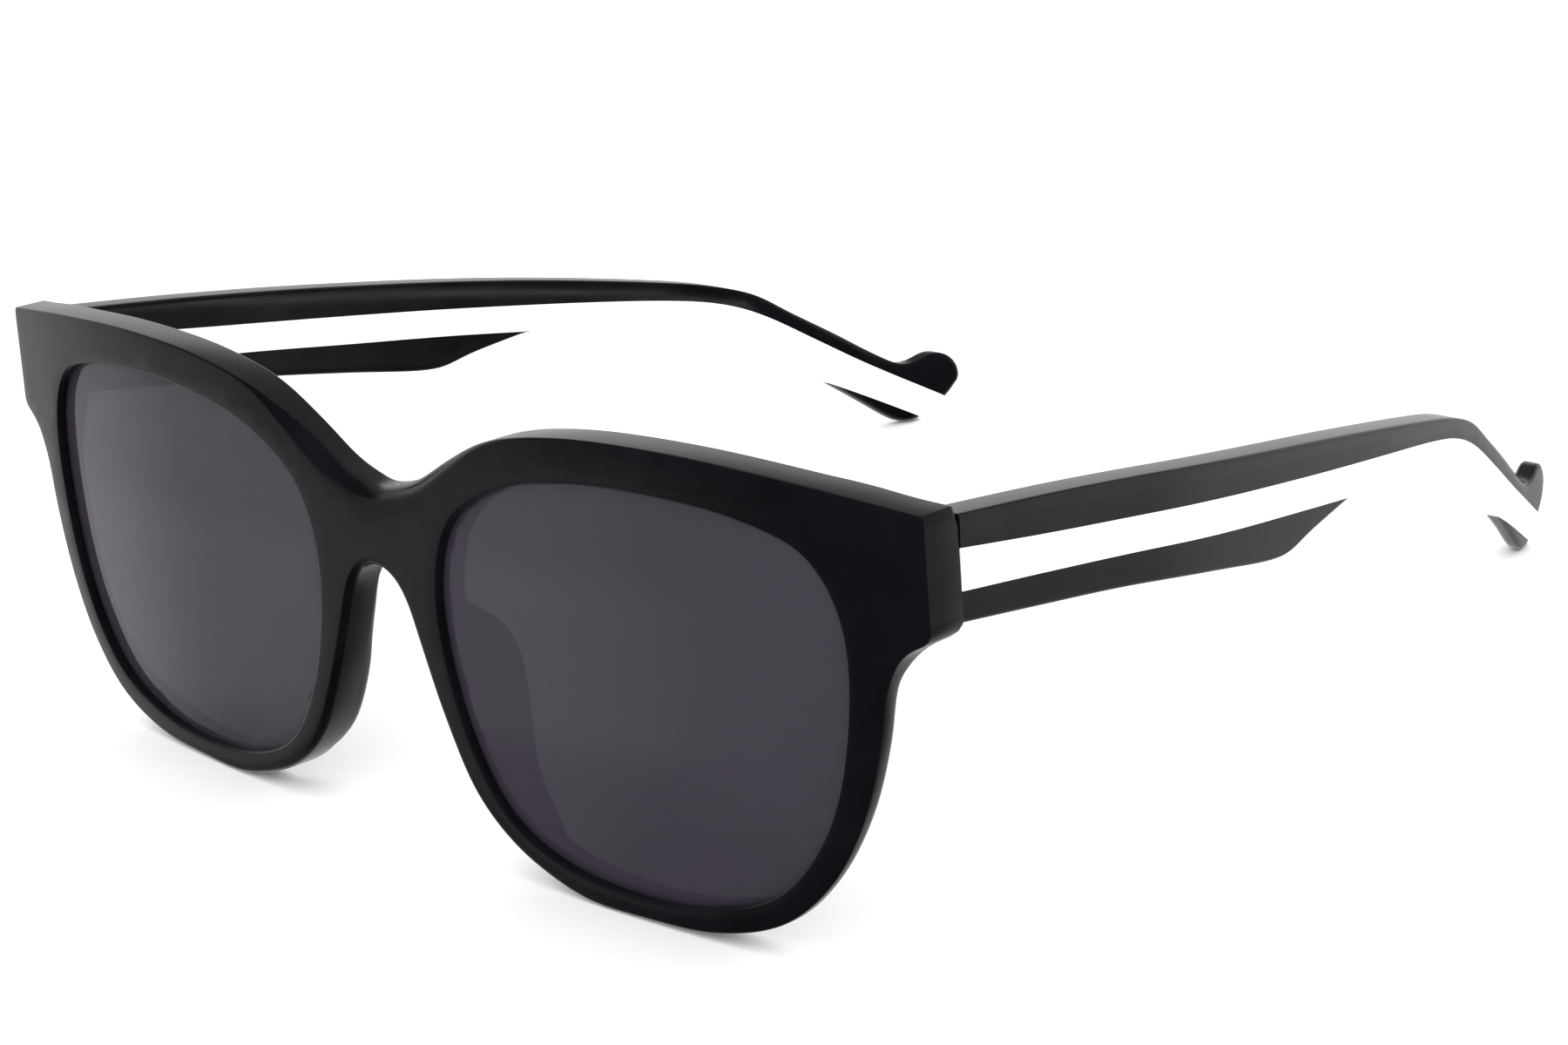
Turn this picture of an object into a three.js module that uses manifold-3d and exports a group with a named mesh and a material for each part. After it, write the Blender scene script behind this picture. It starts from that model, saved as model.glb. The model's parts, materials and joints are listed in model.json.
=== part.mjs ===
// Acetate sunglasses with a soft cat-eye front, smoke lenses and laminated temples.
//
// Millimetres, +Z up. The sunglasses stand open on a level surface, on both rims and both
// temple tips, and face -Y. The origin lies on that surface, under the middle of the box.
// Left and right are the wearer's own, so the left side is at +X.
//
// Everything is drawn upright in the plane of the front, and tipped by REST_TILT at the end.

import * as THREE from 'three';
import { mergeVertices } from 'three/addons/utils/BufferGeometryUtils.js';
import Module from 'manifold-3d';

const wasm = await Module();
wasm.setup();

// ---------------------------------------------------------------- driving dimensions

const FRONT_WIDTH = 146; // across both endpieces
const RIM_THICKNESS = 3.8; // of the acetate front, at the bridge and round the lenses
const ENDPIECE_THICKNESS = 4.6; // before the mitre is cut
const TEMPORAL_THINNING = 0.8; // off the back of the rim, under each endpiece
const THINNING = { top: 31, from: 42, full: 62 }; // it starts below top, and grows between these distances
const WRAP_SQUARE = 0.75e-3; // face-form curve: depth = WRAP_SQUARE x^2 + WRAP_FOURTH x^4
const WRAP_FOURTH = 0.6e-7;
const SWELL_START = 58; // from the middle, where the front begins to thicken
const REST_TILT = 2.8; // degrees that the front leans back when it stands

const LENS_THICKNESS = 1.1;
const LENS_INSET = 1.4; // from the front of the rim to the lens
const LENS_EDGE = 0.7; // how far the lens runs into its groove

const TEMPLE_THICKNESS = 3.9;
const TEMPLE_DROP = 8.49; // degrees below square to the front
const TEMPLE_SPLAY = 0.04; // inward slope of the straight run
const TEMPLE_ROOT = { x: 72.8, y: 10.1, z: 40.9 }; // outer face at the hinge end
const MITRE_Y = 10.2; // plane where the temple butts against the endpiece
const EAR_CURVE_START = 30; // along the temple, where it begins to curve inwards
const EAR_CURVE_RATE = 0.00436;
const EAR_CURVE_POWER = 1.8;

const GAP = 0.3; // between pieces that touch on the real object
const WIRE_RADIUS = 0.6;
const WIRE_START = 1.5;
const WIRE_END = 84;
const WIRE_UP = -0.85; // from the temple's reference line, at the hinge end
const WIRE_RISE = 0.012; // of the wire per millimetre along the temple
const ORIGIN_SHIFT = { y: -69.88, z: 0.265 }; // puts the origin under the middle of the box

const HINGE = { x: 67.2, y: MITRE_Y, z: 39.6 }; // middle of the fold axis
const KNUCKLE_RADIUS = 1.4;
const KNUCKLE_COUNT = 5;
const KNUCKLE_HEIGHT = 1.1;
const KNUCKLE_GAP = 0.15;
const HINGE_HEIGHT = KNUCKLE_COUNT * KNUCKLE_HEIGHT + (KNUCKLE_COUNT - 1) * KNUCKLE_GAP;
const SCREW_RADIUS = 0.6;
const SCREW_CLEARANCE = 0.1;
const LEAF_THICKNESS = 1; // of the temple's leaf
const LEAF_LENGTH = 9.5; // along the temple, from the fold axis
const ANCHOR = { inner: 64.2, outer: 65.3, depth: 1.6 }; // the front leaf's block, let into the endpiece
const LEAF_PROUD = 0.4; // of the acetate that each leaf is let into
const HEAD_RADIUS = 1.1;
const HEAD_HEIGHT = 0.6;
const SCREW_SLOT = { width: 0.35, depth: 0.25 };

// Spans that reach past the whole part, for the tools that cut it.
const PAST_FRONT = { bottom: -5, top: 55, before: -10, behind: 30 };
const PAST_TEMPLE = { bottom: -25, top: 12, start: -4, end: 136 };

// ---------------------------------------------------------------- outlines

// Half of the front, seen face on as [x, z], from the top of the bridge out to the corner.
const BROW_LINE = [
  [0, 37.5], [6, 38.9], [12, 42.1], [19, 45.3], [29, 47.5], [44, 48.3], [60, 47.5], [72.2, 46.3],
];
// The endpiece's side, and its lower corner.
const ENDPIECE_SIDE = [[73, 45.4], [72.3, 36.8], [71.8, 34]];
// The rim from under the endpiece, round the bottom and up the nasal side to the nose arch.
const RIM_LINE = [
  [69.5, 32.1], [67.8, 28.4], [66.5, 24], [64.3, 16.4], [60.6, 9.4], [54.7, 3.7], [46.2, 0.7], [37, 0],
  [28, 0.4], [19.8, 2.9], [13.7, 7.8], [9.4, 15.2], [6.2, 22.7], [4.2, 27.6], [2.2, 29.6], [0, 30.1],
];
// The lens opening, a closed loop.
const LENS_LINE = [
  [10, 30], [12.9, 36.7], [20.8, 41.3], [30.5, 43.3], [41.6, 43.8], [52.5, 43], [59.6, 40.7], [63.1, 35],
  [63.1, 24], [60.1, 13.8], [54, 6.4], [45, 3], [35, 2.1], [25, 3.2], [18, 6.5], [13.2, 13.2], [10.4, 22],
];

// The temple's side view as [along, up], measured from TEMPLE_ROOT along its straight run.
const TEMPLE_TOP = [
  [-3, 4.7], [17, 5.3], [38, 5.4], [64, 5.1], [86, 4.35], [93.5, 3.7], [100, 2], [105.6, -0.55],
  [113, -4], [119.8, -7.1], [123.2, -8.3], [125.4, -8], [126.9, -7],
];
const TIP_BULB = { along: 128.3, up: -10.1, radius: 3.4, from: 114, to: -53 };
const TIP_CORNER = [128.1, -14.8]; // of the white layer
const UPPER_SEAM = [
  [-3, 1.35], [12, 1.3], [25, 1.4], [39, 1.55], [54, 1.75], [77, 1.85], [87, 1.7], [93, 1.3], [97.5, 0.5],
  [102, -0.95], [109.3, -4.1], [117.6, -7.75], [130.3, -12.9],
];
const LOWER_SEAM = [[-3, -2.7], [12, -2.35], [26, -2.1], [39.5, -2], [55, -1.7], [66.6, -1.6]];
const EAR_EDGE = [[66.6, -1.6], [75, -1.5], [84, -1.6], [92, -2.6], [99, -4.7], [105.5, -7.3], [111, -9.8]];
const TIP_SEAM = [[111, -9.8], [118.5, -12.6], [126.2, -15.5]];
const LOWER_EDGE = [
  [-3, -5.7], [12, -5.5], [25, -5.4], [39.8, -5.75], [50.8, -6.1], [54, -5.8], [57.5, -4.4], [66.6, -1.6],
];
const TIP_EDGE = [
  [111, -9.8], [114.2, -11.7], [117.5, -13.6], [120.2, -15.2], [122.6, -16.5], [124.2, -16.8], [125.8, -16.2],
];

// ---------------------------------------------------------------- geometry helpers

const radians = THREE.MathUtils.degToRad;
const frontDepth = (x) => WRAP_SQUARE * x ** 2 + WRAP_FOURTH * x ** 4;

/** Thickness of the front, which swells from the rims into the endpieces. */
function frontThickness(x) {
  const swell = THREE.MathUtils.smoothstep(Math.abs(x), SWELL_START, FRONT_WIDTH / 2);
  return THREE.MathUtils.lerp(RIM_THICKNESS, ENDPIECE_THICKNESS, swell);
}

/** Points spaced evenly along a smooth curve through the given points. */
function smooth(points, spacing, closed = false) {
  const curve = new THREE.CatmullRomCurve3(
    points.map(([a, b]) => new THREE.Vector3(a, b, 0)), closed, 'centripetal');
  const count = Math.max(2, Math.round(curve.getLength() / spacing));
  const spaced = curve.getSpacedPoints(count).map((p) => [p.x, p.y]);
  return closed ? spaced.slice(0, -1) : spaced;
}

/** Points round an arc, both ends included; angles in degrees. */
function arc(a, b, radius, from, to, count) {
  return Array.from({ length: count + 1 }, (_, i) => {
    const angle = radians(from + ((to - from) * i) / count);
    return [a + radius * Math.cos(angle), b + radius * Math.sin(angle)];
  });
}

const vectors = (loop) => loop.map(([a, b]) => new THREE.Vector2(a, b));

/** The same loop, running anticlockwise. */
const anticlockwise = (loop) => (THREE.ShapeUtils.isClockWise(vectors(loop)) ? [...loop].reverse() : loop);

/** A closed loop of points grown outwards, or shrunk where the distance is negative. */
function grow(loop, distance) {
  const turn = Math.sign(THREE.ShapeUtils.area(vectors(loop)));
  return loop.map(([a, b], i) => {
    const [a0, b0] = loop.at(i - 1);
    const [a1, b1] = loop[(i + 1) % loop.length];
    const length = Math.hypot(a1 - a0, b1 - b0);
    return [a + (turn * distance * (b1 - b0)) / length, b - (turn * distance * (a1 - a0)) / length];
  });
}

/** Lifts every second coordinate, to open a seam between two layers. */
const shifted = (points, up) => points.map(([a, b]) => [a, b + up]);

/** A prism from a closed outline, extruded through depth in the shape's own third direction. */
function prism(outline, depth, holes = []) {
  const shape = new THREE.Shape(vectors(anticlockwise(outline)));
  shape.holes = holes.map((loop) => new THREE.Path(vectors(anticlockwise(loop))));
  return new THREE.ExtrudeGeometry(shape, { depth, bevelEnabled: false });
}

/** An outline drawn as [x, z], extruded along Y from y0 to y1. */
function prismAlongY(outline, y0, y1, holes) {
  return prism(outline, y1 - y0, holes).rotateX(Math.PI / 2).translate(0, y1, 0);
}

/** An outline drawn as [x, y], extruded along Z from z0 to z1. */
function prismAlongZ(outline, z0, z1) {
  return prism(outline, z1 - z0).translate(0, 0, z0);
}

/** An outline drawn as [y, z], extruded along X from x0 to x1. */
function prismAlongX(outline, x0, x1) {
  const axes = new THREE.Matrix4().makeBasis(
    new THREE.Vector3(0, 1, 0), new THREE.Vector3(0, 0, 1), new THREE.Vector3(1, 0, 0));
  const low = Math.min(x0, x1);
  return prism(outline, Math.abs(x1 - x0)).applyMatrix4(axes).translate(low, 0, 0);
}

/** A cylinder standing along Z between z0 and z1. */
function post(x, y, radius, z0, z1, sides = 24) {
  return new THREE.CylinderGeometry(radius, radius, z1 - z0, sides)
    .rotateX(Math.PI / 2)
    .translate(x, y, (z0 + z1) / 2);
}

function solid(geometry) {
  const bare = geometry.clone();
  bare.deleteAttribute('normal');
  bare.deleteAttribute('uv');
  const merged = mergeVertices(bare, 1e-4);
  return new wasm.Manifold(new wasm.Mesh({
    numProp: 3,
    vertProperties: new Float32Array(merged.attributes.position.array),
    triVerts: new Uint32Array(merged.index.array),
  }));
}

function geometryOf(manifold) {
  const mesh = manifold.getMesh();
  const geometry = new THREE.BufferGeometry();
  geometry.setAttribute('position', new THREE.BufferAttribute(new Float32Array(mesh.vertProperties), 3));
  geometry.setIndex(new THREE.BufferAttribute(new Uint32Array(mesh.triVerts), 1));
  return geometry;
}

const join = (...parts) => parts.map(solid).reduce((sum, part) => sum.add(part));
const cut = (body, ...tools) => tools.reduce((rest, tool) => rest.subtract(solid(tool)), body);

// ---------------------------------------------------------------- materials

const MATERIALS = {
  blackAcetate: new THREE.MeshStandardMaterial({ color: 0x0b0b0e, roughness: 0.16, metalness: 0 }),
  whiteAcetate: new THREE.MeshStandardMaterial({ color: 0xf4f4f2, roughness: 0.2, metalness: 0 }),
  smokeLens: new THREE.MeshStandardMaterial({ color: 0x4a4550, roughness: 0.05, metalness: 0 }),
  hingeSteel: new THREE.MeshStandardMaterial({ color: 0xa9abaf, roughness: 0.3, metalness: 0.9 }),
};

const assembly = new THREE.Group();

function addPiece(name, manifold, material) {
  const mesh = new THREE.Mesh(geometryOf(manifold), material);
  mesh.name = name;
  assembly.add(mesh);
}

// ---------------------------------------------------------------- front and lenses

/** A bent plate between two depths behind the front's face, each a function of x. */
function bentPlate(near, far, reach = FRONT_WIDTH / 2 + 1, strips = 40) {
  const xs = Array.from({ length: strips + 1 }, (_, i) => reach * ((2 * i) / strips - 1));
  const face = xs.map((x) => [x, frontDepth(x) + near(x)]);
  const back = xs.map((x) => [x, frontDepth(x) + far(x)]).reverse();
  return prismAlongZ([...face, ...back], PAST_FRONT.bottom, PAST_FRONT.top);
}

function frontOutline() {
  const half = [
    ...smooth(BROW_LINE, 2.5),
    ...ENDPIECE_SIDE,
    ...smooth(RIM_LINE, 2.2),
  ];
  const mirrored = half.slice(1, -1).reverse().map(([x, z]) => [-x, z]);
  return [...half, ...mirrored];
}

const lensOpening = (side) => smooth(LENS_LINE, 2.6, true).map(([x, z]) => [side * x, z]);

const lensPlate = (clearance) =>
  bentPlate(() => LENS_INSET - clearance, () => LENS_INSET + LENS_THICKNESS + clearance);

function buildLens(side) {
  const { before, behind } = PAST_FRONT;
  const rimFit = prismAlongY(grow(lensOpening(side), LENS_EDGE), before, behind);
  return solid(lensPlate(0)).intersect(solid(rimFit));
}

function lensGroove(side) {
  const { before, behind } = PAST_FRONT;
  const grooveOutline = prismAlongY(grow(lensOpening(side), LENS_EDGE + GAP), before, behind);
  return geometryOf(solid(lensPlate(GAP)).intersect(solid(grooveOutline)));
}

/** What is milled off the back of the rims, low down and towards the temples. */
function rimThinning() {
  const { smoothstep } = THREE.MathUtils;
  const milled = (x) => TEMPORAL_THINNING * smoothstep(Math.abs(x), THINNING.from, THINNING.full);
  const margin = 0.01; // keeps the tool clear of the back where nothing is milled
  const plate = bentPlate((x) => frontThickness(x) + margin - milled(x), () => 2 * ENDPIECE_THICKNESS);
  const low = new THREE.BoxGeometry(2 * FRONT_WIDTH, PAST_FRONT.top, PAST_FRONT.top)
    .translate(0, 0, THINNING.top - PAST_FRONT.top / 2);
  return geometryOf(solid(plate).intersect(solid(low)));
}

function buildFront() {
  const sheet = solid(bentPlate(() => 0, frontThickness));
  const openings = [1, -1].map(lensOpening);
  const outline = solid(prismAlongY(frontOutline(), PAST_FRONT.before, MITRE_Y - GAP / 2, openings));
  const tools = [1, -1].flatMap((side) => [lensGroove(side), frontLeafPocket(side)]);
  return cut(sheet.intersect(outline), rimThinning(), ...tools);
}

// ---------------------------------------------------------------- nose pads

const PAD = {
  centre: { x: 12.2, y: 5.4, z: 16.2 },
  radii: { across: 4, thick: 2, long: 11.5 },
  lean: 25, // degrees that the pad's foot spreads outwards
  flare: 20, // degrees that the pad opens towards the back
  reach: 40, // half the width of the plate that stands for the back of the rims
};

function buildNosePad(side) {
  const { centre, radii, lean, flare } = PAD;
  const pad = new THREE.SphereGeometry(1, 28, 18)
    .rotateX(Math.PI / 2)
    .scale(radii.across, radii.thick, radii.long)
    .rotateZ(side * radians(flare))
    .rotateY(side * -radians(lean))
    .translate(side * centre.x, centre.y, centre.z);
  const rimBack = bentPlate(() => RIM_THICKNESS + GAP, () => PAST_FRONT.behind, PAD.reach, 20);
  return solid(pad).intersect(solid(rimBack));
}

// ---------------------------------------------------------------- hinges

const knuckleBase = (index) =>
  HINGE.z - HINGE_HEIGHT / 2 + index * (KNUCKLE_HEIGHT + KNUCKLE_GAP);

/** The front leaf's block in the back of the endpiece, seen from above as [x, y]. */
function frontLeafPlate(grown) {
  const inner = ANCHOR.inner - grown;
  const outer = ANCHOR.outer + grown;
  const seat = (x) => frontDepth(x) + frontThickness(x) + LEAF_PROUD - ANCHOR.depth;
  const low = [[inner, seat(inner) - grown], [outer, seat(outer) - grown]];
  const high = low.map(([x, y]) => [x, y + ANCHOR.depth + 2 * grown]).reverse();
  return [...low, ...high];
}

/** The leaf's plate let into the inner face of the temple, seen from above as [x, y]. */
function templeLeafPlate(grown) {
  const y0 = HINGE.y + KNUCKLE_RADIUS + LEAF_PROUD - grown;
  const y1 = HINGE.y + LEAF_LENGTH + grown;
  const sunk = LEAF_THICKNESS - LEAF_PROUD;
  const x0 = TEMPLE_ROOT.x - TEMPLE_THICKNESS - sunk - grown;
  const x1 = x0 + LEAF_THICKNESS + 2 * grown;
  return [[x0, y0], [x1, y0], [x1, y1], [x0, y1]];
}

/** Arms that join the knuckles to their plates. */
const FRONT_ARM = [[64.8, 8.4], [67, 9], [67.2, 10.2], [66, 10], [64.8, 9.2]];
const TEMPLE_ARM = [[67.2, 10.3], [69, 10.5], [69.2, 12.4], [68.3, 12.4], [67.2, 11.4]];

const sided = (outline, side) => outline.map(([x, y]) => [side * x, y]);

/** The room cut for one leaf, with a gap all round it. */
function leafPocket(side, plateOutline, armOutline) {
  const z0 = HINGE.z - HINGE_HEIGHT / 2 - GAP;
  const z1 = HINGE.z + HINGE_HEIGHT / 2 + GAP;
  const plate = prismAlongZ(sided(plateOutline, side), z0, z1);
  const barrel = post(side * HINGE.x, HINGE.y, KNUCKLE_RADIUS + GAP, z0 - HEAD_HEIGHT, z1 + HEAD_HEIGHT);
  const arm = prismAlongZ(sided(grow(armOutline, GAP), side), z0, z1);
  return geometryOf(join(plate, barrel, arm));
}

const frontLeafPocket = (side) => leafPocket(side, frontLeafPlate(GAP), FRONT_ARM);
const templeLeafPocket = (side) => leafPocket(side, templeLeafPlate(GAP), TEMPLE_ARM);

/** A plate with the knuckles of one parity, bored for the screw. */
function buildLeaf(side, plateOutline, armOutline, firstKnuckle) {
  const z0 = HINGE.z - HINGE_HEIGHT / 2;
  const z1 = HINGE.z + HINGE_HEIGHT / 2;
  const parts = [prismAlongZ(sided(plateOutline, side), z0, z1)];
  for (let i = firstKnuckle; i < KNUCKLE_COUNT; i += 2) {
    const base = knuckleBase(i);
    const top = base + KNUCKLE_HEIGHT;
    parts.push(post(side * HINGE.x, HINGE.y, KNUCKLE_RADIUS, base, top));
    parts.push(prismAlongZ(sided(armOutline, side), base, top));
  }
  const bore = post(side * HINGE.x, HINGE.y, SCREW_RADIUS + SCREW_CLEARANCE, z0 - GAP, z1 + GAP);
  return cut(join(...parts), bore);
}

function buildScrew(side) {
  const z0 = HINGE.z - HINGE_HEIGHT / 2;
  const headBase = HINGE.z + HINGE_HEIGHT / 2 + KNUCKLE_GAP;
  const headTop = headBase + HEAD_HEIGHT;
  const x = side * HINGE.x;
  const body = join(
    post(x, HINGE.y, SCREW_RADIUS, z0 - KNUCKLE_GAP, headBase + HEAD_HEIGHT / 2),
    post(x, HINGE.y, HEAD_RADIUS, headBase, headTop));
  const slot = new THREE.BoxGeometry(3 * HEAD_RADIUS, SCREW_SLOT.width, 2 * SCREW_SLOT.depth)
    .translate(x, HINGE.y, headTop);
  return cut(body, slot);
}

// ---------------------------------------------------------------- temples

/** Places a shape drawn in the temple's own directions, [x, along, up], on the front. */
function seatTemple(geometry) {
  return geometry
    .rotateX(-radians(TEMPLE_DROP))
    .translate(0, TEMPLE_ROOT.y, TEMPLE_ROOT.z);
}

function templeX(along) {
  const curve = Math.max(0, along - EAR_CURVE_START) ** EAR_CURVE_POWER;
  return TEMPLE_ROOT.x - TEMPLE_SPLAY * along - EAR_CURVE_RATE * curve;
}

/** The bent bar that every layer of the temple is cut from, less the end face's mitre. */
function templeStock(side) {
  const { bottom, top, start, end } = PAST_TEMPLE;
  const steps = 21;
  const stations = [start];
  for (let i = 0; i <= steps; i += 1) stations.push(THREE.MathUtils.lerp(EAR_CURVE_START, end, i / steps));
  const outer = stations.map((along) => [side * templeX(along), along]);
  const inner = stations.map((along) => [side * (templeX(along) - TEMPLE_THICKNESS), along]).reverse();
  const bar = seatTemple(prismAlongZ([...outer, ...inner], bottom, top));
  const mitre = new THREE.BoxGeometry(TEMPLE_ROOT.x, MITRE_Y, PAST_FRONT.top)
    .translate(side * TEMPLE_ROOT.x, (MITRE_Y + GAP) / 2, TEMPLE_ROOT.z);
  return cut(solid(bar), mitre, templeLeafPocket(side));
}

const templeLayer = (stock, outline) => {
  const profile = seatTemple(prismAlongX(outline, -FRONT_WIDTH, FRONT_WIDTH));
  return stock.intersect(solid(profile));
};

function upperLayerOutline() {
  const { along, up, radius, from, to } = TIP_BULB;
  return [
    ...smooth(TEMPLE_TOP, 3),
    ...arc(along, up, radius, from, to, 12),
    ...shifted(smooth(UPPER_SEAM, 4), GAP / 2).reverse().slice(1),
  ];
}

function middleLayerOutline() {
  const underside = [
    ...smooth(LOWER_SEAM, 6),
    ...smooth(EAR_EDGE, 4).slice(1),
    ...smooth(TIP_SEAM, 4).slice(1),
  ];
  return [
    ...shifted(smooth(UPPER_SEAM, 4), -GAP / 2),
    TIP_CORNER,
    ...shifted(underside, GAP / 2).reverse(),
  ];
}

function lowerLayerOutline() {
  return [
    ...shifted(smooth(LOWER_SEAM, 6), -GAP / 2),
    ...smooth(LOWER_EDGE, 3).reverse().slice(1),
  ];
}

function tipInlayOutline() {
  return [
    ...shifted(smooth(TIP_SEAM, 4), -GAP / 2),
    ...smooth(TIP_EDGE, 2.5).reverse().slice(0, -1),
  ];
}

/** The wire's line down the middle of the white layer, which its bore follows too. */
function wireCurve(side, from, to) {
  const points = Array.from({ length: 9 }, (_, i) => {
    const along = THREE.MathUtils.lerp(from, to, i / 8);
    const middle = templeX(along) - TEMPLE_THICKNESS / 2;
    return new THREE.Vector3(side * middle, along, WIRE_UP + WIRE_RISE * along);
  });
  return new THREE.CatmullRomCurve3(points);
}

function wireTube(side, radius, from, to) {
  const section = new THREE.Shape(arc(0, 0, radius, 0, 324, 9).map(([a, b]) => new THREE.Vector2(a, b)));
  const extrudePath = wireCurve(side, from, to);
  return seatTemple(new THREE.ExtrudeGeometry(section, { steps: 20, bevelEnabled: false, extrudePath }));
}

function addTemple(name, side) {
  const stock = templeStock(side);
  const wireBore = wireTube(side, WIRE_RADIUS + GAP, PAST_TEMPLE.start, WIRE_END + GAP);
  const layers = {
    upper_layer: templeLayer(stock, upperLayerOutline()),
    middle_layer: cut(templeLayer(stock, middleLayerOutline()), wireBore),
    lower_layer: templeLayer(stock, lowerLayerOutline()),
    tip_inlay: templeLayer(stock, tipInlayOutline()),
  };
  for (const [layer, body] of Object.entries(layers)) {
    const material = layer === 'middle_layer' ? MATERIALS.whiteAcetate : MATERIALS.blackAcetate;
    addPiece(`${name}_temple_${layer}`, body, material);
  }
  const wire = solid(wireTube(side, WIRE_RADIUS, WIRE_START, WIRE_END));
  addPiece(`${name}_temple_core_wire`, wire, MATERIALS.hingeSteel);
}

// ---------------------------------------------------------------- assembly

addPiece('front_frame', buildFront(), MATERIALS.blackAcetate);
for (const [name, side] of [['left', 1], ['right', -1]]) {
  addPiece(`${name}_lens`, buildLens(side), MATERIALS.smokeLens);
  addPiece(`${name}_nose_pad`, buildNosePad(side), MATERIALS.blackAcetate);
  const frontLeaf = buildLeaf(side, frontLeafPlate(0), FRONT_ARM, 0);
  const templeLeaf = buildLeaf(side, templeLeafPlate(0), TEMPLE_ARM, 1);
  addPiece(`${name}_front_hinge_leaf`, frontLeaf, MATERIALS.hingeSteel);
  addPiece(`${name}_temple_hinge_leaf`, templeLeaf, MATERIALS.hingeSteel);
  addPiece(`${name}_hinge_screw`, buildScrew(side), MATERIALS.hingeSteel);
  addTemple(name, side);
}

assembly.rotation.x = -radians(REST_TILT);
assembly.position.set(0, ORIGIN_SHIFT.y, ORIGIN_SHIFT.z);

export default assembly;
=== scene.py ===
"""Acetate sunglasses with a soft cat-eye front, smoke lenses and laminated temples.

Shapes are drawn in millimetres, upright in the plane of the front, as on a workshop drawing.
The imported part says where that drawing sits: the hinge joint gives its place and its tilt.
Left and right are the wearer's own, so the left side is at +X.
"""

import json
import math

import bmesh
import bpy
import numpy as np
from mathutils import Matrix, Vector
from mathutils.geometry import delaunay_2d_cdt

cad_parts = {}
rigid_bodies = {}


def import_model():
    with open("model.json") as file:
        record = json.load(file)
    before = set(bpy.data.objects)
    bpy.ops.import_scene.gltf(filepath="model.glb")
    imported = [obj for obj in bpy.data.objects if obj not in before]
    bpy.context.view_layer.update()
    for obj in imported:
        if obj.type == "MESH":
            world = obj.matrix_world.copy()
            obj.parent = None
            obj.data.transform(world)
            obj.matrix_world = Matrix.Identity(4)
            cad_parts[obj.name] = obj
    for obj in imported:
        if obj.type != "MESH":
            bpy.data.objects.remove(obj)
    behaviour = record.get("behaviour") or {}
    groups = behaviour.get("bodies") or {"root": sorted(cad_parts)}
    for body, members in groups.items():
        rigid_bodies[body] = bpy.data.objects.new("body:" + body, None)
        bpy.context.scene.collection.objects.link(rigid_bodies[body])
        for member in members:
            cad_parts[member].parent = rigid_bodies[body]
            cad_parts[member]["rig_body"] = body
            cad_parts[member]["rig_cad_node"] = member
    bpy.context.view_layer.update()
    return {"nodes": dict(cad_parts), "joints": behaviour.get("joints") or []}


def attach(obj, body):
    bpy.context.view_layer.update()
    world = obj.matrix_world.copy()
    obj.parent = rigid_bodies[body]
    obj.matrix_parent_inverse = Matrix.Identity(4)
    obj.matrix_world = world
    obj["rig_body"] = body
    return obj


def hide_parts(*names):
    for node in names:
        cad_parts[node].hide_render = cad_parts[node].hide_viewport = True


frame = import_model()

MM = 0.001
SIDES = {"left": 1, "right": -1}

# ---------------------------------------------------------------- driving dimensions, in mm

# A span is a pair of distances, from the middle or along a temple, between which something
# fades in or out. Heights are a pair of the same kind, upwards.

RIM_THICKNESS = 3.8
ENDPIECE_THICKNESS = 4.6
SWELL_SPAN = (58, 73)  # where the front thickens to its endpieces
TOP_THICKENING = 0.5  # of the brow, between the endpieces
TOP_SPAN = (61, 69.5)
TOP_HEIGHTS = (31, 41)
THINNING = 1.0  # off the back of the rims, low down and towards the temples
THINNING_SPAN = (42, 62)
THINNING_HEIGHTS = (29, 36)
CORNER_SPAN = (69.5, 71.5)  # past which the outline is hardly faired
CORNER_HOLD = 0.97  # share of the fairing held back there
EDGE = 0.3  # rounding of the front's edges
BACK_EDGE = 0.4
OPENING_BACK_EDGE = 0.2
BRIDGE_EDGE = 1.9  # softer rounding over the top of the bridge
BRIDGE_SPAN = (7, 22)
BRIDGE_HEIGHTS = (33, 36)
NOSE_EDGE = 0.8  # and down beside the nose
NOSE_SPAN = (21, 30)
NOSE_HEIGHTS = (29.5, 32)
SHARPENING = 0.9  # share of the back's rounding left out where a pad or a temple meets it
PAD_SPAN = (20, 26)
PAD_HEIGHTS = (27.5, 28.5)
MITRE_SPAN = (69, 71.5)
MITRE_HEIGHTS = (33, 35)
TEMPLE_STEP = 0.3  # extra rounding of the back, above the top of each temple
STEP_SPAN = (64, 70)
STEP_HEIGHTS = (44.5, 45.5)
RIM_TAPER = (2.6, 2.3)  # width and depth of the rounding on the back of the thinned rim
TAPER_HEIGHTS = (4, 14)  # where its width grows from half to full
WRAP_SQUARE = 0.75e-3  # face-form curve of the front
WRAP_FOURTH = 0.6e-7

LENS_INSET = 0.95
LENS_THICKNESS = 1.1
LENS_EDGE = 0.7  # depth of the groove in the rim, but for a hairline
LENS_PLAY = 0.02  # by which the lens stops short of that
LENS_ROUNDING = 0.12
LENS_TEMPORAL = 0.2  # how much deeper the lens sits towards the temples
LENS_TEMPORAL_END = 62  # distance from the middle at which it sits that deep
LENS_CROWN = 0.4  # how much more the lens is domed than the front

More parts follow.
